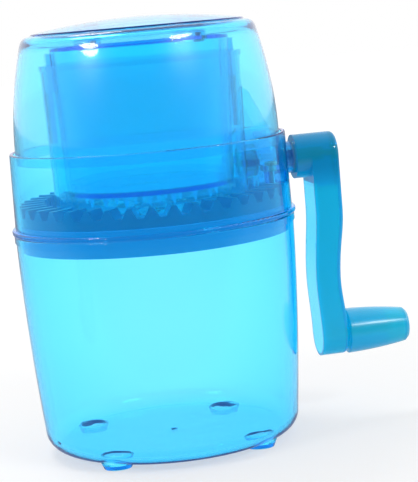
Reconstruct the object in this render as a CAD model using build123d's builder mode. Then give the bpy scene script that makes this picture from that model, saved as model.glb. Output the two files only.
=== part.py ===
from build123d import *
from math import atan2, cos, degrees, pi, radians, sin, tan
import os

# Hand cranked ice shaver: a clear moulded cup, a drive housing with crown gear and blades, and a pusher lid.
# 
# Millimetres, +Z up. The origin is on the axis of the round body, in the plane that the four feet stand on.
# +X is the crank axis, pointing out through the wall towards the crank.
# Levels and radii of the body are measured from that origin; sizes of small pieces are named with the piece.

os.makedirs("parts", exist_ok=True)

# ---------------------------------------------------------------- driving dimensions: the body
wall = 2.2                    # wall of the large mouldings
running_gap = 0.3             # between faces that turn or slide past each other
snug_gap = 0.15               # between faces that are pushed together and stay
shaft_gap = 0.05              # radial gap of a turning shaft in its bush
stack_gap = 0.1               # axial play in the stack of pieces on the shaft
press_gap = 0.03              # radial gap of what is pressed on or drives
cut_over = 1.0                # how far cutters stand out past what they cut
edge_round = 0.7              # rounding of moulded rims and small screw heads
knob_round = 0.8              # rounding of the grip's edge and the heads near it
cross_reach = 1.3             # length of the cross in a screw head, against the head's radius
cross_width = 0.8
cross_depth_share = 0.5       # depth of the cross, against the head's height

# cup
foot_height = 3.5             # feet stand this far below the cup's bottom
cup_floor = 2.7
cup_height = 115.9            # bottom to rim, without the feet
cup_heel_draft = 5.6          # narrowing from the mouth to the heel
cup_belly_draft = 2.0         # narrowing from the mouth to half height
cup_over_skirt = 2.8          # outside of the cup's mouth outside the skirt
cup_heel_fillet = 9.5
cup_band_height = 4.0         # thicker band round the mouth
cup_band_step = 0.6
cup_rim_round = 0.6
cup_turn = 3.0                # degrees that the cup stands turned against the crank axis
foot_circle = 53.7
foot_top_radius = 8.7
foot_bottom_radius = 7.2
dimple_top_radius = 7.4
dimple_bottom_radius = 5.0
dimple_depth = 3.9
gate_mark_side = 4.6
gate_mark_height = 0.8
gate_mark_taper = 25          # degrees

# housing
flange_overhang = 1.4         # past the cup's wall
flange_thickness = 2.8
flange_round = 0.9
housing_foot_wall = 2.7       # collar wall, on the flange
housing_rim_wall = 2.0        # collar wall, at the rim
housing_height = 39.7         # flange top to rim
housing_bore_radius = 70.6
skirt_step = 0.2              # skirt outside the bore, under the flange
skirt_depth = 8.4
shelf_width = 7.6             # shelf that carries the gear disc
shelf_thickness = 2.3
shelf_rise = 2.2              # shelf top above the flange top

# crown gear disc and blades
crown_teeth = 40
pinion_teeth = 9
mesh_depth = 10.1             # from the bore to where crown and pinion run together
pressure_angle = 25.0
crown_inner_reach = 3.5       
crown_rim_thickness = 5.2     # under the teeth
crown_tooth_height = 4.7
crown_addendum = 2.2
tooth_side_play = 0.3         # taken off each flank of the crown teeth
tooth_end_play = 0.4          # tip to root
disc_gap = 0.5                # disc rim to housing bore
web_thickness = 2.7
blade_count = 3
blade_length = 36.0
blade_width = 13.0
blade_thickness = 0.8
blade_tilt = 9.0              # degrees
blade_inner_radius = 10.0
blade_edge_rise = 0.9         # cutting edge above the web
slot_width = 7.0
slot_overhang = 1.6           # cutting edge over the slot
blade_pad_depth = 2.0         # pads under the disc for the blade screws
blade_pad_margin = 1.0
slot_margin = 2.0             # slot past each end of the blade
slot_corner = 2.0
blade_bevel = 2.2
hub_dome_radius = 7.5
hub_dome_height = 1.6
hub_dome_top_radius = 4.5
blade_screw_radius = 1.5
blade_screw_head_radius = 2.6
blade_screw_head_height = 1.0
blade_screw_head_taper = 20   # degrees
blade_screw_length = 2.2
blade_screw_spacing = 22.0
blade_screw_row = 7.9         # from the cutting edge to the row of screws
blade_edge_land = 0.1         # flat left at the cutting edge

# hopper
hopper_top_rise = 83.8        
hopper_flare = 1.1            
hopper_inside_crown = 5.7     
hopper_waist_rise = 27.8      
hopper_lip_step = 0.7
hopper_lip_height = 2.6
key_width = 10.0
rail_thickness = 2.0
rail_depth = 2.6
rail_bite = 1.5               # how far the rails run into the wall
stop_bottom_rise = 44.0       
stop_top_rise = 70.0          
stop_reach = 4.6              

# pinion, shaft and their housing
shaft_above_flange = 23.8     # crank axis above the flange top
shaft_radius = 4.0
shaft_flat = 0.8              # depth of the flat on the shaft
pinion_face = 7.0
pinion_hub_radius = 7.6
pinion_hub_length = 3.4
pinion_dedendum = 2.6
flank_steps = 4               # points along a tooth flank, less one
drum_wall = 1.8               # half-round cover over the pinion
drum_gap = 0.9                # pinion to the cover
cover_root = 4.0              # the cover starts this far inside the hopper, before its bore is cut
bush_radius = 6.5
bush_flange_radius = 8.6
bush_flange_thickness = 1.2
inner_seat_length = 4.8
outer_seat_depth = 1.6        # inner face of the outer bush seat, inside the bore
outer_boss_length = 3.3       # boss outside the wall
outer_boss_radius = 8.5
thrust_washer_radius = 8.8
thrust_washer_thickness = 1.1
drive_pin_radius = 1.1
drive_pin_sink = 0.4          # its ends below the hub's surface
lug_reach = 25.5              # hopper fixing screws, to each side of the shaft
lug_set_in = 1.0              
lug_radius = 4.2
lug_thickness = 3.0
lug_above_crown = 7.4
post_above_crown = 1.4        # underside of the housing's posts
hopper_screw_radius = 1.6
hopper_screw_head_radius = 3.1
hopper_screw_head_height = 1.8
hopper_screw_length = 9.0
fin_thickness = 1.8
fin_top_rise = 67.8           
fin_drop = 6.0                # fall of a fin's top across the wall of the hopper
fin_side_rise = 14.7          # top of its outer side above the shaft
fin_set_in = 1.5

# crank
crank_radius = 97.9           # shaft axis to grip axis
hub_radius = 11.8
hub_stand_off = 1.6           
hub_length = 7.9              # from the face of the hub to the arm
arm_depth = 15.2              # of the arm at the hub
arm_bow = 3.9                 # outer face, set in at its slimmest
arm_inner_bow = 2.6
arm_bow_share = 0.55          # share of the bow reached half way to the slimmest place
arm_hub_drop = 28.0           # straight part of the arm below the shaft axis
arm_slim_drop = 69.0          # where the arm is slimmest
arm_end_depth = 14.8          # of the arm at the grip
arm_set_back = 1.4            # inner face at the grip, against the hub
arm_wall = 2.2
arm_edge_fillet = 2.6
cover_thickness = 1.8
cover_start = 14.5            # below the shaft axis
cover_edge = 1.2              # from the arm's outline to the cover
cover_ledge = 2.0             # arm under the cover's upper end
notch_length = 2.6
notch_depth = 0.9
notch_above_middle = 1.0
arm_screw_radius = 1.7
arm_screw_head_radius = 4.1
arm_screw_head_height = 2.4
arm_screw_length = 12.0
arm_screw_seat = 5.0          # thickness of arm between shaft end and screw head

# grip
grip_gap = 0.6
grip_length = 34.2
grip_base_radius = 12.25
grip_mid_radius = 11.25
grip_end_radius = 9.5
grip_bevel_length = 1.6
grip_bevel_drop = 1.8
grip_cap_lead = 0.3           # narrowing of the cap up to its bevel
grip_cap_bulge = 0.2
grip_cap_spigot = 3.0
grip_cap_thickness = 3.4
grip_pin_radius = 3.0
grip_pin_tail = 2.0           # pin past its nut
grip_boss_radius = 6.4
grip_boss_length = 4.6        # boss inside the arm that the pin's head rests on
grip_pin_head_radius = 5.2
grip_pin_head_height = 2.0
grip_bore_depth = 22.0
grip_pocket_radius = 6.2
push_nut_radius = 5.4
push_nut_thickness = 1.0

# lid and pusher
lid_bottom_rise = 34.3        
lid_gap = 1.1                 # from the bore to the foot of the lid
lid_flank_draft = 2.1         # outside, at lid_flank_z
lid_flank_rise = 68.2         
lid_shoulder_draft = 6.6      # outside, where the shoulder begins
lid_shoulder_rise = 90.8      
lid_brow_draft = 11.9         # outside, top of the shoulder
lid_brow_rise = 99.2          
lid_crown_rise = 105.3        
lid_wall = 2.0
lid_step_draft = 13.9         # fine step between shoulder and crown
lid_step_run = 0.5            # climb of the ledge inside the brow, up to the step
lid_step_height = 0.7
lid_brow_slope = 0.14
lid_crown_flat = 3.0          # flat spot in the middle of the crown
pusher_top_gap = 5.5          # outside of the pusher inside the hopper's outside
pusher_low_gap = 7.1          
pusher_wall = 2.0
pusher_low_rise = 17.8        
pusher_flange_rise = 91.4     # underside of its top flange
pusher_flange_thickness = 2.4
pusher_flange_bore = 30.0
key_top_rise = 89.8           
key_gap = 3.2                 # outer faces of the keys inside the hopper's outside
lid_post_set_in = 8.9         
lid_post_radius = 4.0
lid_post_count = 4
lid_post_below_crown = 3.4    # far enough down to stay inside the curved crown
pusher_screw_radius = 1.5
pusher_screw_head_radius = 2.9
pusher_screw_head_height = 1.8
pusher_screw_length = 7.0
spike_plate_low_rise = 9.0    
spike_plate_draft = 2.4       
spike_plate_thickness = 2.4
spike_spigot_height = 4.0
spike_radius = 1.9
spike_tip_radius = 0.4
spike_rim_edge = 0.1          
spike_row_step = 11.6         # from one circle of spikes to the next
spike_row_count = 3
spikes_per_step = 6           # each circle has this many more than the last

# ---------------------------------------------------------------- levels and sizes that follow
housing_foot_radius = housing_bore_radius + housing_foot_wall
housing_rim_radius = housing_bore_radius + housing_rim_wall
skirt_radius = housing_bore_radius + skirt_step
cup_mouth_radius = skirt_radius + cup_over_skirt
flange_radius = cup_mouth_radius + flange_overhang
cup_belly_radius = cup_mouth_radius - cup_belly_draft
cup_heel_radius = cup_mouth_radius - cup_heel_draft
shelf_inner_radius = housing_bore_radius - shelf_width
mesh_radius = housing_bore_radius - mesh_depth
crown_inner_radius = mesh_radius - crown_inner_reach
hopper_waist_radius = crown_inner_radius - hopper_inside_crown
hopper_top_radius = hopper_waist_radius + hopper_flare
outer_seat_x = housing_bore_radius - outer_seat_depth
outer_boss_x = housing_rim_radius + outer_boss_length
lug_x = mesh_radius - lug_set_in
hub_face_x = outer_boss_x + hub_stand_off
arm_inner_x = hub_face_x + hub_length
arm_outer_x = arm_inner_x + arm_depth
arm_end_inner_x = arm_inner_x - arm_set_back
arm_end_outer_x = arm_end_inner_x + arm_end_depth
lid_foot_radius = housing_bore_radius - lid_gap
lid_flank_radius = lid_foot_radius - lid_flank_draft
lid_shoulder_radius = lid_foot_radius - lid_shoulder_draft
lid_brow_radius = lid_foot_radius - lid_brow_draft
lid_step_radius = lid_foot_radius - lid_step_draft
pusher_top_radius = hopper_top_radius - pusher_top_gap
pusher_low_radius = hopper_waist_radius - pusher_low_gap
stop_inner_x = hopper_waist_radius - stop_reach
key_reach = hopper_top_radius - key_gap
spike_plate_low_radius = pusher_low_radius - spike_plate_draft
spike_rim_inner_radius = spike_plate_low_radius - spike_rim_edge
lid_post_circle = pusher_top_radius - lid_post_set_in

cup_bottom_z = foot_height
cup_floor_z = cup_bottom_z + cup_floor
cup_rim_z = cup_bottom_z + cup_height
flange_top_z = cup_rim_z + flange_thickness
housing_rim_z = flange_top_z + housing_height
skirt_bottom_z = cup_rim_z - skirt_depth
hopper_top_z = flange_top_z + hopper_top_rise
hopper_waist_z = flange_top_z + hopper_waist_rise
stop_bottom_z = flange_top_z + stop_bottom_rise
stop_top_z = flange_top_z + stop_top_rise
fin_top_z = flange_top_z + fin_top_rise
lid_bottom_z = flange_top_z + lid_bottom_rise
lid_flank_z = flange_top_z + lid_flank_rise
lid_shoulder_z = flange_top_z + lid_shoulder_rise
lid_brow_z = flange_top_z + lid_brow_rise
lid_crown_z = flange_top_z + lid_crown_rise
pusher_low_z = flange_top_z + pusher_low_rise
pusher_flange_z = flange_top_z + pusher_flange_rise
key_top_z = flange_top_z + key_top_rise
spike_plate_low_z = flange_top_z + spike_plate_low_rise
shelf_z = flange_top_z + shelf_rise

disc_bottom_z = shelf_z + running_gap
crown_root_z = disc_bottom_z + crown_rim_thickness
crown_tip_z = crown_root_z + crown_tooth_height
crown_outer_radius = housing_bore_radius - disc_gap
web_top_z = disc_bottom_z + web_thickness
hopper_bottom_z = web_top_z + 2 * running_gap

shaft_z = flange_top_z + shaft_above_flange
mesh_plane_z = crown_tip_z - crown_addendum
pinion_pitch_radius = shaft_z - mesh_plane_z
pinion_tip_radius = shaft_z - crown_root_z - tooth_end_play
pinion_root_radius = pinion_pitch_radius - pinion_dedendum
pinion_start_x = mesh_radius - pinion_face / 2
pinion_end_x = mesh_radius + pinion_face / 2
pinion_hub_end_x = pinion_end_x + pinion_hub_length
drum_inner_radius = pinion_tip_radius + drum_gap
drum_outer_radius = drum_inner_radius + drum_wall
inner_seat_end_x = pinion_start_x - stack_gap - bush_flange_thickness
inner_seat_start_x = inner_seat_end_x - inner_seat_length

grip_z = shaft_z - crank_radius
pin_head_x = arm_end_outer_x - arm_wall - grip_boss_length
grip_start_x = arm_end_outer_x + grip_gap
grip_end_x = grip_start_x + grip_length
shaft_start_x = inner_seat_start_x
shaft_end_x = arm_outer_x - arm_screw_head_height - arm_screw_seat - stack_gap


stand = (Align.CENTER, Align.CENTER, Align.MIN)
hang = (Align.CENTER, Align.CENTER, Align.MAX)


def along_crank(x, z=shaft_z):
    """A plane square to the crank axis at x, its own origin at height z; local x is +Y and local y is +Z."""
    return Plane(origin=(x, 0, z), x_dir=(0, 1, 0), z_dir=(1, 0, 0))


def cross(head_radius):
    """Section of the cross slot in a screw head of this radius."""
    Rectangle(head_radius * cross_reach, cross_width)
    Rectangle(cross_width, head_radius * cross_reach)


# ---------------------------------------------------------------- cup
with BuildPart() as cup:
    with BuildSketch(Plane.XZ):
        with BuildLine():
            heel_start = (cup_heel_radius - cup_heel_fillet, cup_bottom_z)
            heel_end = (cup_heel_radius, cup_bottom_z + cup_heel_fillet)
            belly = (cup_belly_radius, cup_bottom_z + cup_height / 2)
            mouth = (cup_mouth_radius, cup_rim_z - cup_band_height)
            band = (cup_mouth_radius + cup_band_step, cup_rim_z - cup_band_height)
            rim = (cup_mouth_radius + cup_band_step, cup_rim_z)
            Polyline((0, cup_bottom_z), heel_start)
            RadiusArc(heel_start, heel_end, -cup_heel_fillet)
            ThreePointArc(heel_end, belly, mouth)
            Polyline(mouth, band, rim, (cup_mouth_radius - wall, cup_rim_z))
            inner_mouth = (cup_mouth_radius - wall, cup_rim_z)
            inner_belly = (cup_belly_radius - wall, cup_bottom_z + cup_height / 2)
            inner_heel_end = (cup_heel_radius - wall, cup_bottom_z + cup_heel_fillet)
            inner_heel_start = (cup_heel_radius - cup_heel_fillet, cup_floor_z)
            ThreePointArc(inner_mouth, inner_belly, inner_heel_end)
            ThreePointArc(
                inner_heel_end,
                (
                    cup_heel_radius - cup_heel_fillet + (cup_heel_fillet - wall) * sin(radians(45)),
                    cup_bottom_z + cup_heel_fillet - (cup_heel_fillet - cup_floor) * cos(radians(45)),
                ),
                inner_heel_start,
            )
            Polyline(inner_heel_start, (0, cup_floor_z), (0, cup_bottom_z))
        make_face()
    revolve(axis=Axis.Z)
    with PolarLocations(foot_circle, 4, start_angle=45 + cup_turn):
        Cone(foot_bottom_radius, foot_top_radius, foot_height, align=stand)
    with Locations((0, 0, cup_floor_z)):
        with PolarLocations(foot_circle, 4, start_angle=45 + cup_turn):
            Cone(
                dimple_bottom_radius,
                dimple_top_radius,
                dimple_depth,
                align=hang,
                mode=Mode.SUBTRACT,
            )
    with BuildSketch(Plane.XY.offset(cup_floor_z)):
        RegularPolygon(gate_mark_side / 2, 3)
    extrude(amount=gate_mark_height, taper=gate_mark_taper)
    cup_rim_edges = cup.edges().filter_by(GeomType.CIRCLE).group_by(Axis.Z)[-1]
    fillet(cup_rim_edges, cup_rim_round)
cup.part.label = "cup"
export_step(cup.part, "parts/cup.step")

# ---------------------------------------------------------------- housing
with BuildPart() as housing:
    with BuildSketch(Plane.XZ):
        with BuildLine():
            Polyline(
                (housing_bore_radius, cup_rim_z),
                (flange_radius, cup_rim_z),
                (flange_radius, flange_top_z),
                (housing_foot_radius, flange_top_z),
                (housing_rim_radius, housing_rim_z),
                (housing_bore_radius, housing_rim_z),
                close=True,
            )
        make_face()
    revolve(axis=Axis.Z)
    rounds = housing.edges().filter_by(GeomType.CIRCLE)
    fillet(rounds.filter_by(lambda e: abs(e.radius - flange_radius) < 0.01), flange_round)
    fillet(housing.edges().filter_by(GeomType.CIRCLE).group_by(Axis.Z)[-1], edge_round)
    # boss for the outer bush, through the wall
    with BuildSketch(along_crank(outer_seat_x)):
        Circle(outer_boss_radius)
    extrude(amount=outer_boss_x - outer_seat_x)
    with BuildSketch(along_crank(outer_seat_x)):
        Circle(bush_radius)
    extrude(amount=outer_boss_x - outer_seat_x, mode=Mode.SUBTRACT)
    # posts for the hopper screws, joined to the wall
    post_top_z = crown_tip_z + lug_above_crown
    post_height = lug_above_crown - post_above_crown
    with BuildSketch(Plane.XY.offset(post_top_z)):
        with Locations((lug_x, lug_reach), (lug_x, -lug_reach)):
            Circle(lug_radius)
        for side in (1, -1):
            with Locations(Location((lug_x, side * lug_reach), degrees(atan2(side * lug_reach, lug_x)))):
                Rectangle(2 * lug_radius, 2 * lug_radius, align=(Align.MIN, Align.CENTER))
        Circle(housing_bore_radius + wall / 2, mode=Mode.INTERSECT)
    extrude(amount=-post_height)
    with BuildSketch(Plane.XY.offset(post_top_z)):
        with Locations((lug_x, lug_reach), (lug_x, -lug_reach)):
            Circle(hopper_screw_radius + shaft_gap)
    extrude(amount=-post_height, mode=Mode.SUBTRACT)
housing.part.label = "housing"
export_step(housing.part, "parts/housing.step")

# ---------------------------------------------------------------- ring that carries the disc and plugs into the cup
with BuildPart() as bearing_ring:
    with BuildSketch(Plane.XZ):
        with BuildLine():
            Polyline(
                (skirt_radius - wall, skirt_bottom_z),
                (skirt_radius, skirt_bottom_z),
                (skirt_radius, cup_rim_z),
                (housing_bore_radius - snug_gap, cup_rim_z),
                (housing_bore_radius - snug_gap, shelf_z),
                (shelf_inner_radius, shelf_z),
                (shelf_inner_radius, shelf_z - shelf_thickness),
                (skirt_radius - wall, shelf_z - shelf_thickness),
                close=True,
            )
        make_face()
    revolve(axis=Axis.Z)
    fillet(bearing_ring.edges().filter_by(GeomType.CIRCLE).group_by(Axis.Z)[0], edge_round)
bearing_ring.part.label = "bearing_ring"
export_step(bearing_ring.part, "parts/bearing_ring.step")

# ---------------------------------------------------------------- gear disc with its crown teeth
tooth_pitch = 2 * pi * mesh_radius / crown_teeth
flank = tan(radians(pressure_angle))
tooth_half = tooth_pitch / 4 - tooth_side_play
space_half_at_tip = tooth_pitch / 2 - (tooth_half - crown_addendum * flank)
space_half_at_root = tooth_pitch / 2 - (tooth_half + (crown_tooth_height - crown_addendum) * flank)


def crown_space(radius):
    """One space between crown teeth, square to the radius: a trapezoid that widens upwards and with the radius."""
    spread = radius / mesh_radius
    over_half = (space_half_at_tip + cut_over * flank) * spread
    with BuildSketch(along_crank(radius, 0)) as section:
        with BuildLine():
            Polyline(
                (-space_half_at_root * spread, crown_root_z),
                (space_half_at_root * spread, crown_root_z),
                (over_half, crown_tip_z + cut_over),
                (-over_half, crown_tip_z + cut_over),
                close=True,
            )
        make_face()
    return section.sketch


inner_space = crown_space(crown_inner_radius - cut_over)
outer_space = crown_space(crown_outer_radius + cut_over)

with BuildPart() as tooth_space:
    loft(sections=[inner_space, outer_space])

blade_edge_z = web_top_z + blade_edge_rise
blade_slope = radians(blade_tilt)
blade_mid_x = blade_inner_radius + blade_length / 2


def blade_plane(number, lift=0.0):
    """Top face of a blade: origin at the inner end of the cutting edge, x outwards, y back from the edge."""
    flat = Plane(
        origin=(blade_inner_radius, lift * sin(blade_slope), blade_edge_z + lift * cos(blade_slope)),
        x_dir=(1, 0, 0),
        z_dir=(0, sin(blade_slope), cos(blade_slope)),
    )
    turned = Rotation(0, 0, 360 / blade_count * number)
    return Plane(turned * flat.location)


def blade_screw_spots():
    """Places of the screws in a blade, in its own plane."""
    return (
        (blade_length / 2 - blade_screw_spacing / 2, blade_screw_row),
        (blade_length / 2 + blade_screw_spacing / 2, blade_screw_row),
    )


with BuildPart() as gear_disc:
    with BuildSketch(Plane.XZ):
        with BuildLine():
            Polyline(
                (0, disc_bottom_z),
                (crown_outer_radius, disc_bottom_z),
                (crown_outer_radius, crown_tip_z),
                (crown_inner_radius, crown_tip_z),
                (crown_inner_radius, web_top_z),
                (0, web_top_z),
                close=True,
            )
        make_face()
    revolve(axis=Axis.Z)
    with Locations((0, 0, web_top_z)):
        Cone(hub_dome_radius, hub_dome_top_radius, hub_dome_height, align=stand)
    with PolarLocations(0, crown_teeth, start_angle=180 / crown_teeth):
        add(tooth_space.part, mode=Mode.SUBTRACT)
    for blade_number in range(blade_count):
        turned = Plane(Rotation(0, 0, 360 / blade_count * blade_number))
        # pad under the disc that takes the screws
        with BuildSketch(turned.offset(disc_bottom_z)):
            with Locations((blade_mid_x, slot_overhang + blade_width / 2)):
                RectangleRounded(blade_length + 2 * blade_pad_margin, blade_width, slot_corner)
        extrude(amount=-blade_pad_depth)
        # slot under the cutting edge
        with BuildSketch(turned.offset(web_top_z + cut_over)):
            with Locations((blade_mid_x, slot_overhang - slot_width / 2)):
                RectangleRounded(blade_length + 2 * slot_margin, slot_width, slot_corner)
        extrude(amount=-web_thickness - blade_pad_depth - 2 * cut_over, mode=Mode.SUBTRACT)
        # tilted seat for the blade
        with BuildSketch(blade_plane(blade_number, -blade_thickness)):
            with Locations((-snug_gap, -cut_over)):
                Rectangle(
                    blade_length + 2 * snug_gap,
                    blade_width + snug_gap + cut_over,
                    align=(Align.MIN, Align.MIN),
                )
        extrude(amount=blade_thickness + 2 * cut_over, mode=Mode.SUBTRACT)
        with BuildSketch(blade_plane(blade_number)):
            with Locations(*blade_screw_spots()):
                Circle(blade_screw_radius + shaft_gap)
        extrude(amount=-blade_screw_length - blade_thickness, mode=Mode.SUBTRACT)
gear_disc.part.label = "gear_disc"
export_step(gear_disc.part, "parts/gear_disc.step")

# ---------------------------------------------------------------- blades and their screws
for blade_number in range(blade_count):
    with BuildPart() as blade:
        base = blade_plane(blade_number)
        with BuildSketch(base):
            Rectangle(blade_length, blade_width, align=(Align.MIN, Align.MIN))
            with Locations(*blade_screw_spots()):
                Circle(blade_screw_radius + shaft_gap, mode=Mode.SUBTRACT)
        extrude(amount=-blade_thickness)
        # ground bevel on the underside of the cutting edge
        with BuildSketch(Plane(origin=base.origin - base.x_dir * cut_over, x_dir=base.y_dir, z_dir=base.x_dir)):
            with BuildLine():
                Polyline(
                    (-cut_over, -blade_edge_land),
                    (0, -blade_edge_land),
                    (blade_bevel, -blade_thickness),
                    (blade_bevel, -blade_thickness - cut_over),
                    (-cut_over, -blade_thickness - cut_over),
                    close=True,
                )
            make_face()
        extrude(amount=blade_length + 2 * cut_over, mode=Mode.SUBTRACT)
    blade.part.label = f"blade_{blade_number + 1}"
    export_step(blade.part, f"parts/blade_{blade_number + 1}.step")

with BuildPart() as blade_screws:
    for blade_number in range(blade_count):
        with BuildSketch(blade_plane(blade_number)):
            with Locations(*blade_screw_spots()):
                Circle(blade_screw_radius)
        extrude(amount=-blade_screw_length - blade_thickness)
        with BuildSketch(blade_plane(blade_number)):
            with Locations(*blade_screw_spots()):
                Circle(blade_screw_head_radius)
        extrude(amount=blade_screw_head_height, taper=blade_screw_head_taper)
        with BuildSketch(blade_plane(blade_number, blade_screw_head_height)):
            with Locations(*blade_screw_spots()):
                cross(blade_screw_head_radius)
        extrude(amount=-blade_screw_head_height * cross_depth_share, mode=Mode.SUBTRACT)
blade_screws.part.label = "blade_screws"
export_step(blade_screws.part, "parts/blade_screws.step")

# ---------------------------------------------------------------- hopper with the cover over the pinion
hopper_waist_inner = hopper_waist_radius - wall
hopper_top_inner = hopper_top_radius - wall
drum_end_x = pinion_end_x + drum_gap
lug_z = post_top_z
key_room = key_width / 2 + running_gap

with BuildPart() as hopper:
    with BuildSketch(Plane.XZ):
        with BuildLine():
            Polyline(
                (0, hopper_bottom_z),
                (hopper_waist_radius, hopper_bottom_z),
                (hopper_waist_radius, hopper_waist_z),
                (hopper_top_radius, hopper_top_z - hopper_lip_height),
                (hopper_top_radius + hopper_lip_step, hopper_top_z - hopper_lip_height),
                (hopper_top_radius + hopper_lip_step, hopper_top_z),
                (0, hopper_top_z),
                close=True,
            )
        make_face()
    revolve(axis=Axis.Z)
    # half-round cover over the pinion, open below and towards the wall of the housing
    cover_start_x = hopper_waist_inner - cover_root
    with BuildSketch(along_crank(cover_start_x)):
        Circle(drum_outer_radius)
        Rectangle(2 * drum_outer_radius, shaft_z - crown_tip_z - 2 * running_gap, align=(Align.CENTER, Align.MAX))
        Circle(drum_inner_radius, mode=Mode.SUBTRACT)
        Rectangle(2 * drum_inner_radius, 2 * drum_outer_radius, align=(Align.CENTER, Align.MAX), mode=Mode.SUBTRACT)
    extrude(amount=drum_end_x - cover_start_x)
    # seat of the inner bush, with a web up to the cover
    with BuildSketch(along_crank(cover_start_x)):
        Circle(bush_flange_radius)
        Rectangle(2 * drum_wall, drum_outer_radius, align=(Align.CENTER, Align.MIN))
        Rectangle(2 * drum_inner_radius + drum_wall, 2 * drum_wall)
    extrude(amount=inner_seat_end_x - cover_start_x)
    # fins above the cover
    for side in (1, -1):
        with BuildSketch(Plane.XZ.offset(-side * (drum_outer_radius - fin_thickness / 2))):
            with BuildLine():
                Polyline(
                    (cover_start_x, shaft_z),
                    (drum_end_x - fin_set_in, shaft_z),
                    (drum_end_x - fin_set_in, shaft_z + fin_side_rise),
                    (hopper_top_radius, fin_top_z - fin_drop),
                    (cover_start_x, fin_top_z),
                    close=True,
                )
            make_face()
        extrude(amount=fin_thickness / 2, both=True)
    # lugs for the two fixing screws
    with BuildSketch(Plane.XY.offset(lug_z)):
        for side in (1, -1):
            with Locations((lug_x, side * lug_reach)):
                Circle(lug_radius)
            with Locations((lug_x, side * (drum_outer_radius - cut_over))):
                Rectangle(
                    2 * lug_radius,
                    lug_reach - drum_outer_radius + cut_over,
                    align=(Align.CENTER, Align.MIN if side > 0 else Align.MAX),
                )
        with Locations((lug_x, lug_reach), (lug_x, -lug_reach)):
            Circle(hopper_screw_radius + snug_gap, mode=Mode.SUBTRACT)
    extrude(amount=lug_thickness)
    # the bore for the ice
    with BuildSketch(Plane.XZ):
        with BuildLine():
            Polyline(
                (0, hopper_bottom_z - cut_over),
                (hopper_waist_inner, hopper_bottom_z - cut_over),
                (hopper_waist_inner, hopper_waist_z),
                (hopper_top_inner, hopper_top_z),
                (hopper_top_inner, hopper_top_z + cut_over),
                (0, hopper_top_z + cut_over),
                close=True,
            )
        make_face()
    revolve(axis=Axis.Z, mode=Mode.SUBTRACT)
    # shaft bush bore, from the outside up to the wall
    with BuildSketch(along_crank(inner_seat_start_x)):
        Circle(bush_radius)
    extrude(amount=inner_seat_length + cut_over, mode=Mode.SUBTRACT)
    # rails for the keys of the pusher, and the stops that the keys land on
    rail_inner_x = hopper_top_inner - rail_depth
    rail_outer_x = hopper_waist_inner + rail_bite
    for side in (1, -1):
        with BuildSketch(Plane.XY.offset(stop_bottom_z)):
            for edge in (1, -1):
                with Locations((side * (rail_inner_x + rail_outer_x) / 2, edge * (key_room + rail_thickness / 2))):
                    Rectangle(rail_outer_x - rail_inner_x, rail_thickness)
        extrude(amount=hopper_top_z - stop_bottom_z)
        with BuildSketch(Plane.XY.offset(stop_bottom_z)):
            with Locations((side * (stop_inner_x + rail_outer_x) / 2, 0)):
                Rectangle(rail_outer_x - stop_inner_x, 2 * key_room + rail_thickness)
        extrude(amount=stop_top_z - stop_bottom_z)
hopper.part.label = "hopper"
export_step(hopper.part, "parts/hopper.step")

with BuildPart() as hopper_screws:
    for side in (1, -1):
        with Locations((lug_x, side * lug_reach, lug_z + lug_thickness)):
            Cylinder(hopper_screw_radius, hopper_screw_length, align=hang)
            Cylinder(hopper_screw_head_radius, hopper_screw_head_height, align=stand)
    fillet(hopper_screws.edges().filter_by(GeomType.CIRCLE).group_by(Axis.Z)[-1], edge_round)
    with BuildSketch(Plane.XY.offset(lug_z + lug_thickness + hopper_screw_head_height)):
        with Locations((lug_x, lug_reach), (lug_x, -lug_reach)):
            cross(hopper_screw_head_radius)
    extrude(amount=-hopper_screw_head_height * cross_depth_share, mode=Mode.SUBTRACT)
hopper_screws.part.label = "hopper_screws"
export_step(hopper_screws.part, "parts/hopper_screws.step")

# ---------------------------------------------------------------- shaft, bushes, pinion
flat_height = shaft_radius - shaft_flat


def flatted_round(gap=0.0):
    """Section of the shaft where it drives something: a circle with one flat, drawn round the crank axis."""
    Circle(shaft_radius + gap)
    with Locations((0, flat_height + gap)):
        Rectangle(4 * shaft_radius, 2 * shaft_radius, align=(Align.CENTER, Align.MIN), mode=Mode.SUBTRACT)


with BuildPart() as crank_shaft:
    with BuildSketch(along_crank(shaft_start_x)):
        Circle(shaft_radius)
    extrude(amount=shaft_end_x - shaft_start_x)
    for start, end in ((pinion_start_x, pinion_hub_end_x), (hub_face_x - stack_gap, shaft_end_x)):
        with BuildSketch(along_crank(start)):
            with Locations((0, flat_height)):
                Rectangle(4 * shaft_radius, 2 * shaft_radius, align=(Align.CENTER, Align.MIN))
        extrude(amount=end - start, mode=Mode.SUBTRACT)
    with BuildSketch(along_crank(shaft_end_x)):
        Circle(arm_screw_radius + shaft_gap)
    extrude(amount=-arm_screw_length + arm_screw_seat - running_gap, mode=Mode.SUBTRACT)
    drive_pin_x = pinion_end_x + pinion_hub_length / 2
    with BuildSketch(Plane.XZ):
        with Locations((drive_pin_x, shaft_z)):
            Circle(drive_pin_radius + press_gap)
    extrude(amount=shaft_radius + cut_over, both=True, mode=Mode.SUBTRACT)
crank_shaft.part.label = "crank_shaft"
export_step(crank_shaft.part, "parts/crank_shaft.step")

with BuildPart() as inner_bush:
    with BuildSketch(along_crank(inner_seat_start_x)):
        Circle(bush_radius)
    extrude(amount=inner_seat_length)
    with BuildSketch(along_crank(inner_seat_end_x)):
        Circle(bush_flange_radius)
    extrude(amount=bush_flange_thickness)
    with BuildSketch(along_crank(inner_seat_start_x)):
        Circle(shaft_radius + shaft_gap)
    extrude(amount=inner_seat_length + bush_flange_thickness, mode=Mode.SUBTRACT)
inner_bush.part.label = "inner_bush"
export_step(inner_bush.part, "parts/inner_bush.step")

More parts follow.
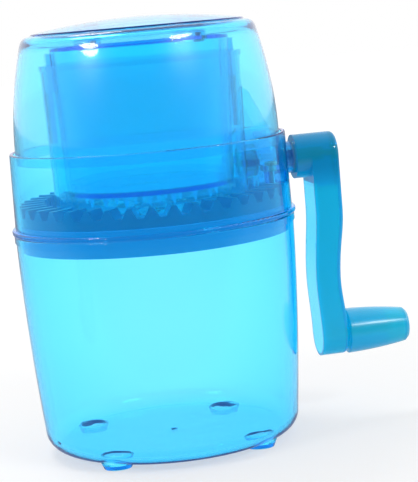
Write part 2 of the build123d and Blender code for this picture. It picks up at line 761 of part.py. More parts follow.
with BuildPart() as outer_bush:
    with BuildSketch(along_crank(outer_seat_x)):
        Circle(bush_radius)
    extrude(amount=outer_boss_x - outer_seat_x)
    with BuildSketch(along_crank(outer_seat_x)):
        Circle(bush_flange_radius)
    extrude(amount=-bush_flange_thickness)
    with BuildSketch(along_crank(outer_seat_x - bush_flange_thickness)):
        Circle(shaft_radius + shaft_gap)
    extrude(amount=outer_boss_x - outer_seat_x + bush_flange_thickness, mode=Mode.SUBTRACT)
outer_bush.part.label = "outer_bush"
export_step(outer_bush.part, "parts/outer_bush.step")

with BuildPart() as thrust_washer:
    with BuildSketch(along_crank(outer_boss_x + stack_gap)):
        Circle(thrust_washer_radius)
        Circle(shaft_radius + snug_gap, mode=Mode.SUBTRACT)
    extrude(amount=hub_face_x - outer_boss_x - stack_gap)
thrust_washer.part.label = "thrust_washer"
export_step(thrust_washer.part, "parts/thrust_washer.step")


def involute(base_radius, radius):
    """Turn, in radians, of an involute at this radius from where it leaves the base circle."""
    lean = ((radius / base_radius) ** 2 - 1) ** 0.5
    return lean - atan2(lean, 1)


def pinion_tooth():
    """One pinion tooth along local x: involute flanks on straight roots."""
    base_radius = pinion_pitch_radius * cos(radians(pressure_angle))
    low = max(base_radius, pinion_root_radius)
    half_at_base = pi / pinion_teeth / 2 + involute(base_radius, pinion_pitch_radius)
    radii = [low + (pinion_tip_radius - low) * step / flank_steps for step in range(flank_steps + 1)]
    turns = [half_at_base - involute(base_radius, radius) for radius in radii]
    rising = [(radius * cos(turn), radius * sin(turn)) for radius, turn in zip(radii, turns)]
    falling = [(x, -y) for x, y in reversed(rising)]
    foot = pinion_root_radius - cut_over
    with BuildSketch() as tooth:
        with BuildLine():
            Line((foot, -rising[0][1]), (foot, rising[0][1]))
            Line((foot, rising[0][1]), rising[0])
            Spline(*rising)
            Line(rising[-1], falling[0])
            Spline(*falling)
            Line(falling[-1], (foot, -rising[0][1]))
        make_face()
    return tooth.sketch


one_pinion_tooth = pinion_tooth()

with BuildPart() as pinion:
    with BuildSketch(along_crank(pinion_start_x)):
        Circle(pinion_root_radius)
        with PolarLocations(0, pinion_teeth, start_angle=-90 + 180 / pinion_teeth):
            add(one_pinion_tooth)
    extrude(amount=pinion_face)
    with BuildSketch(along_crank(pinion_end_x)):
        Circle(pinion_hub_radius)
    extrude(amount=pinion_hub_length)
    with BuildSketch(along_crank(pinion_start_x)):
        flatted_round(press_gap)
    extrude(amount=pinion_face + pinion_hub_length, mode=Mode.SUBTRACT)
    with BuildSketch(Plane.XZ):
        with Locations((drive_pin_x, shaft_z)):
            Circle(drive_pin_radius + press_gap)
    extrude(amount=pinion_hub_radius + cut_over, both=True, mode=Mode.SUBTRACT)
pinion.part.label = "pinion"
export_step(pinion.part, "parts/pinion.step")

with BuildPart() as drive_pin:
    with BuildSketch(Plane.XZ):
        with Locations((drive_pin_x, shaft_z)):
            Circle(drive_pin_radius)
    extrude(amount=pinion_hub_radius - drive_pin_sink, both=True)
drive_pin.part.label = "drive_pin"
export_step(drive_pin.part, "parts/drive_pin.step")

# ---------------------------------------------------------------- crank arm and its cover


def arm_edge(outer, shift=0.0):
    """Side view of the inner or outer face of the arm as a list of (x, z), from above the hub to below the grip."""
    top_x, end_x, bow = (arm_outer_x, arm_end_outer_x, arm_bow) if outer else (
        arm_inner_x,
        arm_end_inner_x,
        arm_inner_bow,
    )
    middle_drop = (arm_hub_drop + arm_slim_drop) / 2
    return [
        (top_x + shift, shaft_z - arm_hub_drop),
        (top_x - bow * arm_bow_share + shift, shaft_z - middle_drop),
        (top_x - bow + shift, shaft_z - arm_slim_drop),
        (end_x + shift, grip_z),
    ]


def arm_slab(near, far, inset, top_z):
    """The part of the arm between two side-view edges, inset from its outline and cut off at top_z."""
    low_z = grip_z - hub_radius - cut_over
    with BuildPart() as slab:
        with BuildSketch(Plane.XZ):
            with BuildLine():
                Line((near[0][0], top_z), near[0])
                Spline(*near, tangents=((0, -1), (0, -1)))
                Polyline(near[-1], (near[-1][0], low_z), (far[-1][0], low_z), far[-1])
                Spline(*reversed(far), tangents=((0, 1), (0, 1)))
                Polyline(far[0], (far[0][0], top_z), (near[0][0], top_z))
            make_face()
        extrude(amount=hub_radius + cut_over, both=True)
        with BuildSketch(along_crank(hub_face_x, (shaft_z + grip_z) / 2)):
            SlotCenterToCenter(crank_radius, 2 * (hub_radius - inset), rotation=90)
        extrude(amount=grip_end_x - hub_face_x, mode=Mode.INTERSECT)
    return slab.part


cover_top_z = shaft_z - cover_start
arm_cavity = arm_slab(arm_edge(False, -cut_over), arm_edge(True, -arm_wall), arm_wall, cover_top_z - cover_ledge)
cover_rebate = arm_slab(arm_edge(False, -cut_over), arm_edge(False, cover_thickness), cover_edge, cover_top_z)
notch_z = (shaft_z + grip_z) / 2 + notch_above_middle

arm_body = arm_slab(arm_edge(False), arm_edge(True), 0, shaft_z + hub_radius + cut_over)

with BuildPart() as crank_arm:
    add(arm_body)
    fillet(crank_arm.faces().filter_by(Axis.X).sort_by(Axis.X)[-1].edges(), arm_edge_fillet)
    with BuildSketch(along_crank(hub_face_x)):
        Circle(hub_radius)
    extrude(amount=arm_inner_x - hub_face_x + cut_over)
    add(arm_cavity, mode=Mode.SUBTRACT)
    add(cover_rebate, mode=Mode.SUBTRACT)
    # boss for the grip pin
    with BuildSketch(along_crank(pin_head_x, grip_z)):
        Circle(grip_boss_radius)
    extrude(amount=grip_boss_length + cut_over)
    with BuildSketch(along_crank(pin_head_x - cut_over, grip_z)):
        Circle(grip_pin_radius + press_gap)
    extrude(amount=grip_boss_length + arm_wall + 2 * cut_over, mode=Mode.SUBTRACT)
    # seat on the shaft
    with BuildSketch(along_crank(hub_face_x)):
        flatted_round(press_gap)
    extrude(amount=shaft_end_x + stack_gap - hub_face_x, mode=Mode.SUBTRACT)
    with BuildSketch(along_crank(hub_face_x)):
        Circle(arm_screw_radius + snug_gap)
    extrude(amount=arm_outer_x + cut_over - hub_face_x, mode=Mode.SUBTRACT)
    with BuildSketch(along_crank(arm_outer_x + cut_over)):
        Circle(arm_screw_head_radius + running_gap)
    extrude(amount=-arm_screw_head_height - cut_over, mode=Mode.SUBTRACT)
crank_arm.part.label = "crank_arm"
export_step(crank_arm.part, "parts/crank_arm.step")

cover_plate = arm_slab(
    arm_edge(False),
    arm_edge(False, cover_thickness),
    cover_edge + snug_gap,
    cover_top_z - snug_gap,
)

with BuildPart() as arm_cover:
    add(cover_plate)
    for side in (1, -1):
        with Locations((arm_inner_x - arm_inner_bow, side * hub_radius, notch_z)):
            Box(12, 2 * (cover_edge + snug_gap + notch_depth), notch_length, mode=Mode.SUBTRACT)
arm_cover.part.label = "arm_cover"
export_step(arm_cover.part, "parts/arm_cover.step")

with BuildPart() as crank_screw:
    head_x = arm_outer_x - arm_screw_head_height
    with BuildSketch(along_crank(head_x)):
        Circle(arm_screw_radius)
    extrude(amount=-arm_screw_length)
    with BuildSketch(along_crank(head_x)):
        Circle(arm_screw_head_radius)
    extrude(amount=arm_screw_head_height - running_gap)
    fillet(crank_screw.edges().filter_by(GeomType.CIRCLE).group_by(Axis.X)[-1], knob_round)
    with BuildSketch(along_crank(arm_outer_x - running_gap)):
        cross(arm_screw_head_radius)
    extrude(amount=-arm_screw_head_height * cross_depth_share, mode=Mode.SUBTRACT)
crank_screw.part.label = "crank_screw"
export_step(crank_screw.part, "parts/crank_screw.step")

# ---------------------------------------------------------------- grip on its pin
grip_body_end_x = grip_end_x - grip_cap_thickness
grip_taper_x = (grip_start_x + grip_end_x) / 2
pocket_start_x = grip_start_x + grip_bore_depth

with BuildPart() as grip:
    with BuildSketch(Plane.XZ):
        with BuildLine():
            ThreePointArc(
                (grip_start_x, grip_z + grip_base_radius),
                (grip_taper_x, grip_z + grip_mid_radius),
                (grip_body_end_x, grip_z + grip_end_radius),
            )
            Polyline(
                (grip_body_end_x, grip_z + grip_end_radius),
                (grip_body_end_x, grip_z + grip_pocket_radius),
                (pocket_start_x, grip_z + grip_pocket_radius),
                (pocket_start_x, grip_z + grip_pin_radius + shaft_gap),
                (grip_start_x, grip_z + grip_pin_radius + shaft_gap),
                (grip_start_x, grip_z + grip_base_radius),
            )
        make_face()
    revolve(axis=Axis((0, 0, grip_z), (1, 0, 0)))
    fillet(grip.edges().filter_by(lambda e: e.geom_type == GeomType.CIRCLE and e.radius > grip_mid_radius), knob_round)
grip.part.label = "grip"
export_step(grip.part, "parts/grip.step")

with BuildPart() as grip_cap:
    with BuildSketch(Plane.XZ):
        with BuildLine():
            Polyline(
                (grip_body_end_x - grip_cap_spigot, grip_z),
                (grip_body_end_x - grip_cap_spigot, grip_z + grip_pocket_radius - snug_gap),
                (grip_body_end_x, grip_z + grip_pocket_radius - snug_gap),
                (grip_body_end_x, grip_z + grip_end_radius),
                (grip_end_x - grip_bevel_length, grip_z + grip_end_radius - grip_cap_lead),
                (grip_end_x, grip_z + grip_end_radius - grip_bevel_drop),
                (grip_end_x + grip_cap_bulge, grip_z),
                close=True,
            )
        make_face()
    revolve(axis=Axis((0, 0, grip_z), (1, 0, 0)))
grip_cap.part.label = "grip_cap"
export_step(grip_cap.part, "parts/grip_cap.step")

with BuildPart() as grip_pin:
    pin_end_x = pocket_start_x + push_nut_thickness + grip_pin_tail
    with BuildSketch(along_crank(pin_head_x, grip_z)):
        Circle(grip_pin_radius)
    extrude(amount=pin_end_x - pin_head_x)
    with BuildSketch(along_crank(pin_head_x, grip_z)):
        Circle(grip_pin_head_radius)
    extrude(amount=-grip_pin_head_height)
    fillet(grip_pin.edges().filter_by(GeomType.CIRCLE).group_by(Axis.X)[0], knob_round)
grip_pin.part.label = "grip_pin"
export_step(grip_pin.part, "parts/grip_pin.step")

with BuildPart() as push_nut:
    with BuildSketch(along_crank(pocket_start_x + stack_gap, grip_z)):
        Circle(push_nut_radius)
        Circle(grip_pin_radius + press_gap, mode=Mode.SUBTRACT)
    extrude(amount=push_nut_thickness)
push_nut.part.label = "push_nut"
export_step(push_nut.part, "parts/push_nut.step")

# ---------------------------------------------------------------- lid


def lid_section(inset, bottom_z):
    """Half section of the lid as a filled shape, set in from the outside by inset."""
    with BuildSketch(Plane.XZ) as section:
        with BuildLine():
            foot = (lid_foot_radius - inset, lid_bottom_z)
            flank_point = (lid_flank_radius - inset, lid_flank_z)
            shoulder = (lid_shoulder_radius - inset, lid_shoulder_z)
            brow = (lid_brow_radius - inset, lid_brow_z - inset)
            step = (lid_step_radius - inset, lid_brow_z + lid_step_run - inset)
            rise = (lid_step_radius - inset, lid_brow_z + lid_step_run + lid_step_height - inset)
            crown = (lid_crown_flat, lid_crown_z - inset)
            if bottom_z < lid_bottom_z:
                Line((lid_foot_radius - inset, bottom_z), foot)
            flank_arc = ThreePointArc(foot, flank_point, shoulder)
            Spline(shoulder, brow, tangents=(flank_arc % 1, (-1, lid_brow_slope)))
            Polyline(brow, step, rise)
            # half way out, a shallow crown has fallen a quarter of its height
            crown_mid = (rise[0] / 2, crown[1] - (crown[1] - rise[1]) / 4)
            ThreePointArc(rise, crown_mid, crown)
            Polyline(crown, (0, crown[1]), (0, bottom_z), (lid_foot_radius - inset, bottom_z))
        make_face()
    return section.sketch


lid_outside = lid_section(0, lid_bottom_z)
lid_inside = lid_section(lid_wall, lid_bottom_z - cut_over)

with BuildPart() as lid:
    add(lid_outside)
    revolve(axis=Axis.Z)
    add(lid_inside)
    revolve(axis=Axis.Z, mode=Mode.SUBTRACT)
    pusher_top_z = pusher_flange_z + pusher_flange_thickness
    with BuildSketch(Plane.XY.offset(pusher_top_z)):
        with PolarLocations(lid_post_circle, lid_post_count, start_angle=45):
            Circle(lid_post_radius)
    extrude(amount=lid_crown_z - pusher_top_z - lid_post_below_crown)
    with BuildSketch(Plane.XY.offset(pusher_top_z)):
        with PolarLocations(lid_post_circle, lid_post_count, start_angle=45):
            Circle(pusher_screw_radius + shaft_gap)
    extrude(amount=pusher_screw_length - pusher_flange_thickness + running_gap, mode=Mode.SUBTRACT)
lid.part.label = "lid"
export_step(lid.part, "parts/lid.step")

# ---------------------------------------------------------------- pusher
pusher_slope = (pusher_top_radius - pusher_low_radius) / (pusher_flange_z - pusher_low_z)

with BuildPart() as pusher:
    with BuildSketch(Plane.XZ):
        with BuildLine():
            Polyline(
                (pusher_low_radius - pusher_wall, pusher_low_z),
                (pusher_low_radius, pusher_low_z),
                (pusher_top_radius, pusher_flange_z),
                (pusher_top_radius, pusher_top_z),
                (pusher_flange_bore, pusher_top_z),
                (pusher_flange_bore, pusher_flange_z),
                (pusher_top_radius - pusher_wall, pusher_flange_z),
                close=True,
            )
        make_face()
    revolve(axis=Axis.Z)
    for side in (1, -1):
        with BuildSketch(Plane.XY.offset(stop_top_z)):
            key_root_x = pusher_low_radius - pusher_wall / 2 + pusher_slope * (stop_top_z - pusher_low_z)
            with Locations((side * (key_root_x + key_reach) / 2, 0)):
                Rectangle(key_reach - key_root_x, key_width)
        extrude(amount=key_top_z - stop_top_z)
    with BuildSketch(Plane.XY.offset(pusher_flange_z)):
        with PolarLocations(lid_post_circle, lid_post_count, start_angle=45):
            Circle(pusher_screw_radius + snug_gap)
    extrude(amount=pusher_flange_thickness, mode=Mode.SUBTRACT)
pusher.part.label = "pusher"
export_step(pusher.part, "parts/pusher.step")

with BuildPart() as pusher_screws:
    with Locations((0, 0, pusher_flange_z)):
        with PolarLocations(lid_post_circle, lid_post_count, start_angle=45):
            Cylinder(pusher_screw_radius, pusher_screw_length, align=stand)
            Cylinder(pusher_screw_head_radius, pusher_screw_head_height, align=hang)
    fillet(pusher_screws.edges().filter_by(GeomType.CIRCLE).group_by(Axis.Z)[0], edge_round)
    with BuildSketch(Plane.XY.offset(pusher_flange_z - pusher_screw_head_height)):
        with PolarLocations(lid_post_circle, lid_post_count, start_angle=45):
            cross(pusher_screw_head_radius)
    extrude(amount=pusher_screw_head_height * cross_depth_share, mode=Mode.SUBTRACT)
pusher_screws.part.label = "pusher_screws"
export_step(pusher_screws.part, "parts/pusher_screws.step")

with BuildPart() as spike_plate:
    spigot_radius = pusher_low_radius - pusher_wall - snug_gap
    plate_low_z = pusher_low_z - spike_plate_thickness
    with BuildSketch(Plane.XZ):
        with BuildLine():
            Polyline(
                (0, pusher_low_z),
                (spigot_radius - pusher_wall, pusher_low_z),
                (spigot_radius - pusher_wall, pusher_low_z + spike_spigot_height),
                (spigot_radius, pusher_low_z + spike_spigot_height),
                (spigot_radius, pusher_low_z),
                (pusher_low_radius, pusher_low_z),
                (spike_plate_low_radius, spike_plate_low_z),
                (spike_plate_low_radius - pusher_wall, spike_plate_low_z),
                (spike_rim_inner_radius, plate_low_z),
                (0, plate_low_z),
                close=True,
            )
        make_face()
    revolve(axis=Axis.Z)
    with Locations((0, 0, plate_low_z)):
        for row in range(1, spike_row_count + 1):
            with PolarLocations(row * spike_row_step, row * spikes_per_step):
                Cone(spike_tip_radius, spike_radius, plate_low_z - spike_plate_low_z - running_gap, align=hang)
spike_plate.part.label = "spike_plate"
export_step(spike_plate.part, "parts/spike_plate.step")
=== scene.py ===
import math

import bpy
from mathutils import Matrix, Vector

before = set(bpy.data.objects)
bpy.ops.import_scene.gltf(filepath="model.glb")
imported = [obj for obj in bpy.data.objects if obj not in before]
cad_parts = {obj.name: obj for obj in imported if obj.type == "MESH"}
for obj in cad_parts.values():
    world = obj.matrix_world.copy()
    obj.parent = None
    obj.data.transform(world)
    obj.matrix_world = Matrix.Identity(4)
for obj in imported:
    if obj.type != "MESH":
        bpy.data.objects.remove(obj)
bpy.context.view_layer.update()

bl_info = {
    "name": "Clear Ice Shaver with Crank",
    "version": (1, 0, 0),
    "blender": (4, 5, 0),
    "location": "View3D > Sidebar > Ice Shaver",
    "description": "Dresses the frame of a hand cranked ice shaver in clear cyan plastic",
    "category": "Add Mesh",
}

MM = 0.001
PLASTIC_IOR = 1.46
STEEL = (0.70, 0.72, 0.74)
BLADE_STEEL = (0.78, 0.80, 0.82)
# the shaft and its bearings
BEARING_BODY = (0.05, 0.60, 0.90)
FLOOR_HALF = 6.0
FLOOR_GREY = 0.45
# how fast the lamps' light on the floor falls off, per square metre
FLOOR_FALL = 1.25
# the floor from here towards the photographer is dim in reflections, in metres before the part
DIM_FROM, DIM_TO, DIM_SHARE = -0.5, -0.1, 0.32
LAMP_AIM = (0, 0, 0.11)
LIGHT_BOUNCES = 48


# ---------------------------------------------------------------- node trees

class Wire:
    """One output of a node. Sums and products of wires and numbers add Math nodes."""

    def __init__(self, tree, socket):
        self.tree = tree
        self.socket = socket

    def _maths(self, operation, first, second):
        return self.tree.node("ShaderNodeMath", {"operation": operation}, {0: first, 1: second})

    def __add__(self, other):
        return self._maths("ADD", self, other)

    def __radd__(self, other):
        return self._maths("ADD", other, self)

    def __sub__(self, other):
        return self._maths("SUBTRACT", self, other)

    def __rsub__(self, other):
        return self._maths("SUBTRACT", other, self)

    def __mul__(self, other):
        return self._maths("MULTIPLY", self, other)

    def __rmul__(self, other):
        return self._maths("MULTIPLY", other, self)

    def __rpow__(self, other):
        return self._maths("POWER", other, self)


class Tree:
    """The node tree of a material or a world, with one method that makes every node."""

    def __init__(self, owner):
        owner.use_nodes = True
        self.tree = owner.node_tree
        self.tree.nodes.clear()

    def node(self, kind, settings=None, sockets=None, out=0):
        """Makes a node: its settings first, then the value or link of each named or numbered socket."""
        made = self.tree.nodes.new(kind)
        for key, value in (settings or {}).items():
            setattr(made, key, value)
        for key, value in (sockets or {}).items():
            socket = made.inputs[key]
            if isinstance(value, Wire):
                self.tree.links.new(value.socket, socket)
            else:
                socket.default_value = value
        return Wire(self, made.outputs[out])

    def output(self, kind="ShaderNodeOutputMaterial", **wires):
        made = self.tree.nodes.new(kind)
        for key, wire in wires.items():
            self.tree.links.new(wire.socket, made.inputs[key])

    def place(self):
        """Object coordinates, in metres."""
        return self.node("ShaderNodeTexCoord", out="Object")

    def noise(self, scale, detail=3.0, stretch=(1, 1, 1)):
        """Noise between 0 and 1; scale is in waves per metre, and stretch scales each axis."""
        spot = self.node("ShaderNodeMapping", None, {"Vector": self.place(), "Scale": stretch})
        return self.node("ShaderNodeTexNoise", None, {"Vector": spot, "Scale": scale, "Detail": detail})

    def mix(self, share, first, second):
        """Mixes two colours by a share."""
        return self.node(
            "ShaderNodeMix",
            {"data_type": "RGBA", "blend_type": "MIX"},
            {"Factor": share, 6: first, 7: second},
            out=2,
        )

    def rays(self):
        """1 for what the camera sees straight, in reflections and through the plastic, in that order."""
        return [
            self.node("ShaderNodeLightPath", out=name)
            for name in ("Is Camera Ray", "Is Glossy Ray", "Is Transmission Ray")
        ]

    def along(self, vector, direction):
        """How far a vector goes in a direction."""
        return self.node(
            "ShaderNodeVectorMath", {"operation": "DOT_PRODUCT"}, {0: vector, 1: direction}, out="Value",
        )

    def ramp(self, wire, start, end):
        """A smooth 0 to 1 as a wire goes from start to end."""
        return self.node(
            "ShaderNodeMapRange", {"interpolation_type": "SMOOTHSTEP"},
            {"Value": wire, "From Min": start, "From Max": end},
        )

    def bump(self, height, distance, strength=1.0):
        sockets = {"Height": height, "Distance": distance, "Strength": strength}
        return self.node("ShaderNodeBump", None, sockets)


def rgba(colour, alpha=1.0):
    return (colour[0], colour[1], colour[2], alpha)


def between(wire, low, high):
    """A wire of 0 to 1 spread from low to high."""
    return wire * (high - low) + low


def clear_plastic(
    name, tint, roughness, mirror=0.3, milk=0.0, body=(0.1, 0.6, 0.9), glow=0.0, sheen=0.0, shade=None
):
    """Clear moulded plastic. Light is absorbed by the depth of plastic it crosses, tint being the
    absorption of red, green and blue per metre, so thick edges and overlapping walls turn deep blue.
    milk is the share of light that is scattered back in the colour body, as in thick or frosted
    mouldings, and sheen is the weight of a soft skin over the polish. glow is painted light: the
    plastic emits its body colour at this strength, though it is no lamp, in place of light scattered
    inside it. shade is a level, a second level and a colour: the moulding, and its painted glow where
    the plastic is milky, takes on that colour from the first level to the second. Faint moulding flow ripples
    the surface, and fine rubbing marks roughen it in patches."""
    material = bpy.data.materials.new(name)
    tree = Tree(material)
    ripple = tree.noise(38.0, 2.0, (1, 1, 0.45))
    rubbed = tree.noise(240.0, 4.0) * tree.noise(30.0, 2.0)
    # the milkier the plastic, the more its surface has the colour of its body
    clear = (0.96, 0.99, 1.0)
    dyed = min(1.0, 2.2 * milk)
    base = [pale + (full - pale) * dyed for pale, full in zip(clear, body)]
    colour = tree.mix(tree.noise(16.0, 2.0), rgba(base), rgba([min(1.0, part * 1.04) for part in base]))
    # painted light: the colour that the plastic emits as its glow, though it is no lamp
    painted_glow_colour = rgba(body)
    if shade:
        start, end, darker = shade
        share = tree.ramp(tree.node("ShaderNodeSeparateXYZ", None, {0: tree.place()}, out="Z"), start, end)
        colour = tree.mix(share, colour, rgba(darker))
        if milk:
            painted_glow_colour = tree.mix(share, rgba(body), rgba(darker))
    surface = tree.node(
        "ShaderNodeBsdfPrincipled",
        None,
        {
            "Base Color": colour,
            "Roughness": between(rubbed, roughness, roughness + 0.05),
            "IOR": PLASTIC_IOR,
            "Specular IOR Level": mirror,
            "Transmission Weight": 1.0 - milk,
            "Emission Color": painted_glow_colour,
            "Emission Strength": glow,
            "Coat Weight": sheen,
            "Coat Roughness": 0.3,
            "Normal": tree.bump(ripple, 0.0006, 0.25),
        },
    )
    strongest = max(tint)
    depth = tree.node(
        "ShaderNodeVolumeAbsorption",
        None,
        {"Color": rgba([1.0 - part / strongest for part in tint]), "Density": strongest},
    )
    tree.output(Surface=surface, Volume=depth)
    return material


def ground_steel(name, colour, roughness, brushed=(1, 1, 1)):
    """Steel with fine grinding lines along one axis."""
    material = bpy.data.materials.new(name)
    tree = Tree(material)
    lines = tree.noise(900.0, 3.0, brushed)
    surface = tree.node(
        "ShaderNodeBsdfPrincipled",
        None,
        {
            "Base Color": tree.mix(lines, rgba([part * 0.85 for part in colour]), rgba(colour)),
            "Metallic": 1.0,
            "Roughness": between(lines, roughness, roughness + 0.2),
            "Normal": tree.bump(lines, 0.00005, 0.4),
        },
    )
    tree.output(Surface=surface)
    return material


def dress(node, material):
    """Gives a node of the frame its material."""
    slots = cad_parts[node].data.materials
    slots.clear()
    slots.append(material)


# ---------------------------------------------------------------- settings

class ShaverColours(bpy.types.PropertyGroup):
    """The dye and the finishes."""

    tint: bpy.props.FloatVectorProperty(
        name="Dye", description="Absorption of red, green and blue per metre of plastic",
        default=(400.0, 61.0, 8.0), size=3, min=0.0,
    )
    deep: bpy.props.FloatProperty(
        name="Deeper Dye", description="How much more dye the disc and the ring hold",
        default=2.5, min=0.1,
    )
    inner: bpy.props.FloatProperty(
        name="Hopper Dye", description="How much more red the hopper and the pusher absorb",
        default=2.5, min=0.1,
    )
    gloss: bpy.props.FloatProperty(
        name="Roughness", description="Roughness of the polished plastic",
        default=0.02, min=0.0, max=1.0, subtype="FACTOR",
    )


class ShaverStage(bpy.types.PropertyGroup):
    """The camera and the light."""

    eye: bpy.props.FloatVectorProperty(
        name="Eye", description="Place of the camera",
        default=(-0.1233, -0.8600, 0.2258), subtype="TRANSLATION", unit="LENGTH",
    )
    aim: bpy.props.FloatVectorProperty(
        name="Aim", description="Direction that the camera looks in",
        default=(0.1720, 0.9756, -0.1364), subtype="DIRECTION",
    )
    roll: bpy.props.FloatProperty(
        name="Roll", description="Turn of the camera about its own view",
        default=math.radians(4.99), subtype="ANGLE",
    )
    daylight: bpy.props.FloatProperty(
        name="Daylight", description="Strength of the even light of the room", default=0.6, min=0.0,
    )
    mirrored: bpy.props.FloatProperty(
        name="Mirrored Room",
        description="How much of the white backdrop the photographer's side has in reflections",
        default=0.18, min=0.0,
    )
    lens: bpy.props.FloatProperty(
        name="Lens", description="Focal length on a 36 mm sensor", default=142.05, min=1.0, unit="CAMERA",
    )


# ---------------------------------------------------------------- operators

class SHAVER_OT_shell(bpy.types.Operator):
    """Dress the clear mouldings"""

    bl_idname = "shaver.shell"
    bl_label = "Clear Mouldings"

    def execute(self, context):
        look = context.scene.shaver_colours
        tint = tuple(look.tint)
        # painted light: the lid, the housing and the cup emit a faint blue glow all over, though they are no
        # lamp
        painted_blue_glow = {"body": (0.0, 0.32, 1.0), "glow": 0.035}
        dress("lid", clear_plastic("lid_plastic", tint, look.gloss * 2, sheen=0.8, **painted_blue_glow))
        dress("housing", clear_plastic("housing_plastic", tint, look.gloss, sheen=0.1, **painted_blue_glow))
        low = (90 * MM, 10 * MM, (0.88, 0.96, 1.0))
        dress("cup", clear_plastic("cup_plastic", tint, look.gloss, sheen=0.1, shade=low, **painted_blue_glow))
        # painted light: the hopper, the pusher and the spike plate emit a faint cyan glow, though they are no
        # lamp
        for node in ("hopper", "pusher", "spike_plate"):
            dyed = (tint[0] * look.inner, *tint[1:])
            dress(node, clear_plastic(
                node + "_plastic", dyed, look.gloss, mirror=0.12, milk=0.05, body=(0.0, 0.75, 1.0), glow=0.05,
            ))
        return {"FINISHED"}


class SHAVER_OT_drive(bpy.types.Operator):
    """Dress the gear disc, the pinion and the shaft with its bearings"""

    bl_idname = "shaver.drive"
    bl_label = "Drive"

    def execute(self, context):
        look = context.scene.shaver_colours
        tint = tuple(look.tint)
        deep = [part * look.deep for part in tint]
        # painted light: the gear disc and the bearing ring emit a glow of their body colour, though they are
        # no lamp
        for node, glow in (("gear_disc", 0.25), ("bearing_ring", 0.44)):
            dress(node, clear_plastic(
                node + "_plastic", deep, roughness=0.12, mirror=0.2, milk=0.75, body=(0.0, 0.36, 0.66),
                glow=glow,
            ))
        # painted light: the pinion emits a glow of its body colour, though it is no lamp
        dress("pinion", clear_plastic(
            "pinion_plastic", tint, roughness=0.12, milk=0.7, body=(0.0, 0.60, 0.88), glow=0.35,
        ))
        for node in ("crank_shaft", "inner_bush", "outer_bush", "thrust_washer"):
            dress(node, clear_plastic(
                node + "_plastic", tint, roughness=0.2, mirror=0.15, milk=0.2, body=BEARING_BODY,
            ))
        return {"FINISHED"}


class SHAVER_OT_metal(bpy.types.Operator):
    """Dress the blades, the screws and the pins"""

    bl_idname = "shaver.metal"
    bl_label = "Metal"

    def execute(self, context):
        for number in (1, 2, 3):
            steel = ground_steel(f"blade_steel_{number}", BLADE_STEEL, roughness=0.18, brushed=(0.2, 1, 1))
            dress(f"blade_{number}", steel)
        for node in (
            "blade_screws", "hopper_screws", "pusher_screws", "crank_screw", "drive_pin", "grip_pin",
            "push_nut",
        ):
            dress(node, ground_steel(node + "_steel", STEEL, roughness=0.28))
        return {"FINISHED"}


class SHAVER_OT_crank(bpy.types.Operator):
    """Dress the crank arm, its cover and the grip"""

    bl_idname = "shaver.crank"
    bl_label = "Crank and Grip"

    def execute(self, context):
        look = context.scene.shaver_colours
        tint = tuple(look.tint)
        # the arm is darker from 125 mm up to 142 mm, at the hub, in its colour and in its painted glow
        high = (125 * MM, 142 * MM, (0.0, 0.34, 0.50))
        # painted light: the arm, its cover and the grip emit a glow of their body colours, though they are no
        # lamp
        dress("crank_arm", clear_plastic(
            "arm_plastic", tint, roughness=0.06, mirror=0.5, milk=0.45, body=(0.0, 0.52, 0.70), glow=0.24,
            shade=high,
        ))
        dress("arm_cover", clear_plastic(
            "cover_plastic", tint, roughness=0.05, milk=0.3, body=(0.05, 0.70, 0.84), glow=0.38,
        ))
        for node in ("grip", "grip_cap"):
            dress(node, clear_plastic(
                node + "_plastic", tint, roughness=0.2, mirror=0.5, milk=0.5, body=(0.0, 0.54, 0.68),
                glow=0.26, sheen=0.5,
            ))
        return {"FINISHED"}


def lay_floor(scene, ahead):
    """A white floor that keeps the part's shadow. The lamps light its middle, so its own white fades
    in with the distance, as 1 less a bell curve."""
    corners = [(x * FLOOR_HALF, y * FLOOR_HALF, 0) for x, y in ((-1, -1), (1, -1), (1, 1), (-1, 1))]
    mesh = bpy.data.meshes.new("floor")
    mesh.from_pydata(corners, [], [(0, 1, 2, 3)])
    floor = bpy.data.objects.new("floor", mesh)
    scene.collection.objects.link(floor)
    paint = bpy.data.materials.new("floor_white")
    tree = Tree(paint)
    seen, mirrored, through = tree.rays()
    away = tree.node("ShaderNodeVectorMath", {"operation": "LENGTH"}, {0: tree.place()}, out="Value")
    near = math.e ** (away * away * -FLOOR_FALL)
    # what the plastic mirrors of the floor is dim on the photographer's side
    lit = between(tree.ramp(tree.along(tree.place(), ahead), DIM_FROM, DIM_TO), DIM_SHARE, 1.0)
    matt = tree.node("ShaderNodeBsdfDiffuse", None, {"Color": (seen * (1.0 - lit) + lit) * FLOOR_GREY})
    # painted light: the floor glows brighter for rays through the plastic, most near the part where its
    # shadow falls, and shows its glow in reflections near the part
    shown = seen + through * lit + mirrored * near * 0.3
    white = 0.78 - near * 0.22 + through * (near * 0.13 + 0.12)
    glow = tree.node("ShaderNodeEmission", None, {"Color": rgba((1, 1, 1)), "Strength": white})
    both = tree.node("ShaderNodeAddShader", None, {0: matt, 1: glow})
    tree.output(Surface=tree.node("ShaderNodeMixShader", None, {0: shown, 1: matt, 2: both}))
    mesh.materials.append(paint)


def light_room(scene, ahead, daylight, mirrored_share):
    """The even light of the room. The plastic shows a white backdrop behind it, and a dim room on the
    photographer's side."""
    world = bpy.data.worlds.new("studio")
    scene.world = world
    sky = Tree(world)
    seen, mirrored, through = sky.rays()
    behind = sky.along(sky.node("ShaderNodeTexCoord", out="Generated"), ahead)
    backdrop = between(sky.ramp(behind, -0.9, 0.3), mirrored_share, 1.0)
    level = seen * (1.0 - daylight) + (mirrored + through) * (backdrop - daylight) + daylight
    room = sky.node("ShaderNodeBackground", None, {"Color": rgba((1, 1, 1)), "Strength": level})
    sky.output("ShaderNodeOutputWorld", Surface=room)


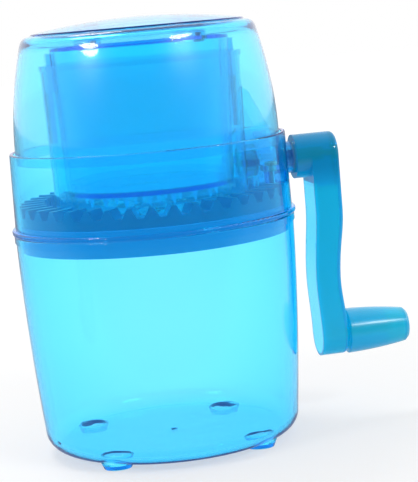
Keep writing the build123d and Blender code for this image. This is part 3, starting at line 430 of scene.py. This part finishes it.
def hang_lamp(scene, name, spot, size, power):
    """A soft oval lamp that shines on the part."""
    lamp = bpy.data.lights.new(name, "AREA")
    lamp.shape = "ELLIPSE"
    lamp.size, lamp.size_y = size
    lamp.energy = power
    hung = bpy.data.objects.new(name, lamp)
    hung.location = spot
    hung.rotation_euler = (Vector(LAMP_AIM) - Vector(spot)).to_track_quat("-Z", "Y").to_euler()
    scene.collection.objects.link(hung)


def set_camera(scene, stage, ahead):
    """A camera at the eye that looks ahead, turned about its view by the roll."""
    side = ahead.cross(Vector((0, 0, 1))).normalized()
    above = side.cross(ahead)
    across = side * math.cos(stage.roll) - above * math.sin(stage.roll)
    upward = side * math.sin(stage.roll) + above * math.cos(stage.roll)
    camera = bpy.data.cameras.new("camera")
    camera.sensor_fit = "HORIZONTAL"
    camera.sensor_width = 36.0
    camera.lens = stage.lens
    camera.clip_start = 10 * MM
    holder = bpy.data.objects.new("camera", camera)
    axes = Matrix((across, upward, -ahead)).transposed().to_4x4()
    holder.matrix_world = Matrix.Translation(stage.eye) @ axes
    scene.collection.objects.link(holder)
    scene.camera = holder


class SHAVER_OT_stage(bpy.types.Operator):
    """Set up the floor, the light and the camera"""

    bl_idname = "shaver.stage"
    bl_label = "Stage"

    def execute(self, context):
        scene = context.scene
        stage = scene.shaver_stage
        ahead = Vector(stage.aim).normalized()
        lay_floor(scene, ahead)
        light_room(scene, ahead, stage.daylight, stage.mirrored)
        # the left and right lamps stand where the lid's two highlights mirror them
        hang_lamp(scene, "over", (-0.30, 0.45, 1.30), (0.50, 0.50), 5.0)
        hang_lamp(scene, "left", (-1.13, -0.72, 0.84), (0.50, 0.14), 4.2)
        hang_lamp(scene, "right", (0.74, -1.05, 0.875), (0.55, 0.15), 4.8)
        set_camera(scene, stage, ahead)
        scene.view_settings.view_transform = "Standard"
        paths = scene.cycles
        paths.max_bounces = paths.transmission_bounces = paths.transparent_max_bounces = LIGHT_BOUNCES
        return {"FINISHED"}


class SHAVER_PT_panel(bpy.types.Panel):
    """Lists the steps"""

    bl_idname = "SHAVER_PT_panel"
    bl_label = "Ice Shaver"
    bl_space_type = "VIEW_3D"
    bl_region_type = "UI"
    bl_category = "Ice Shaver"

    def draw(self, context):
        for step in STEPS:
            self.layout.operator(step.bl_idname)
        for group in (context.scene.shaver_colours, context.scene.shaver_stage):
            for key in group.bl_rna.properties.keys():
                if key not in ("rna_type", "name"):
                    self.layout.prop(group, key)


STEPS = (SHAVER_OT_shell, SHAVER_OT_drive, SHAVER_OT_metal, SHAVER_OT_crank, SHAVER_OT_stage)
GROUPS = {"shaver_colours": ShaverColours, "shaver_stage": ShaverStage}


def register():
    for kind in (*GROUPS.values(), *STEPS, SHAVER_PT_panel):
        bpy.utils.register_class(kind)
    for key, group in GROUPS.items():
        setattr(bpy.types.Scene, key, bpy.props.PointerProperty(type=group))


def unregister():
    for key in GROUPS:
        delattr(bpy.types.Scene, key)
    for kind in reversed((*GROUPS.values(), *STEPS, SHAVER_PT_panel)):
        bpy.utils.unregister_class(kind)


def main():
    register()
    for step in STEPS:
        family, name = step.bl_idname.split(".")
        if getattr(getattr(bpy.ops, family), name)() != {"FINISHED"}:
            raise RuntimeError(step.bl_idname + " did not finish")


if __name__ == "__main__":
    main()
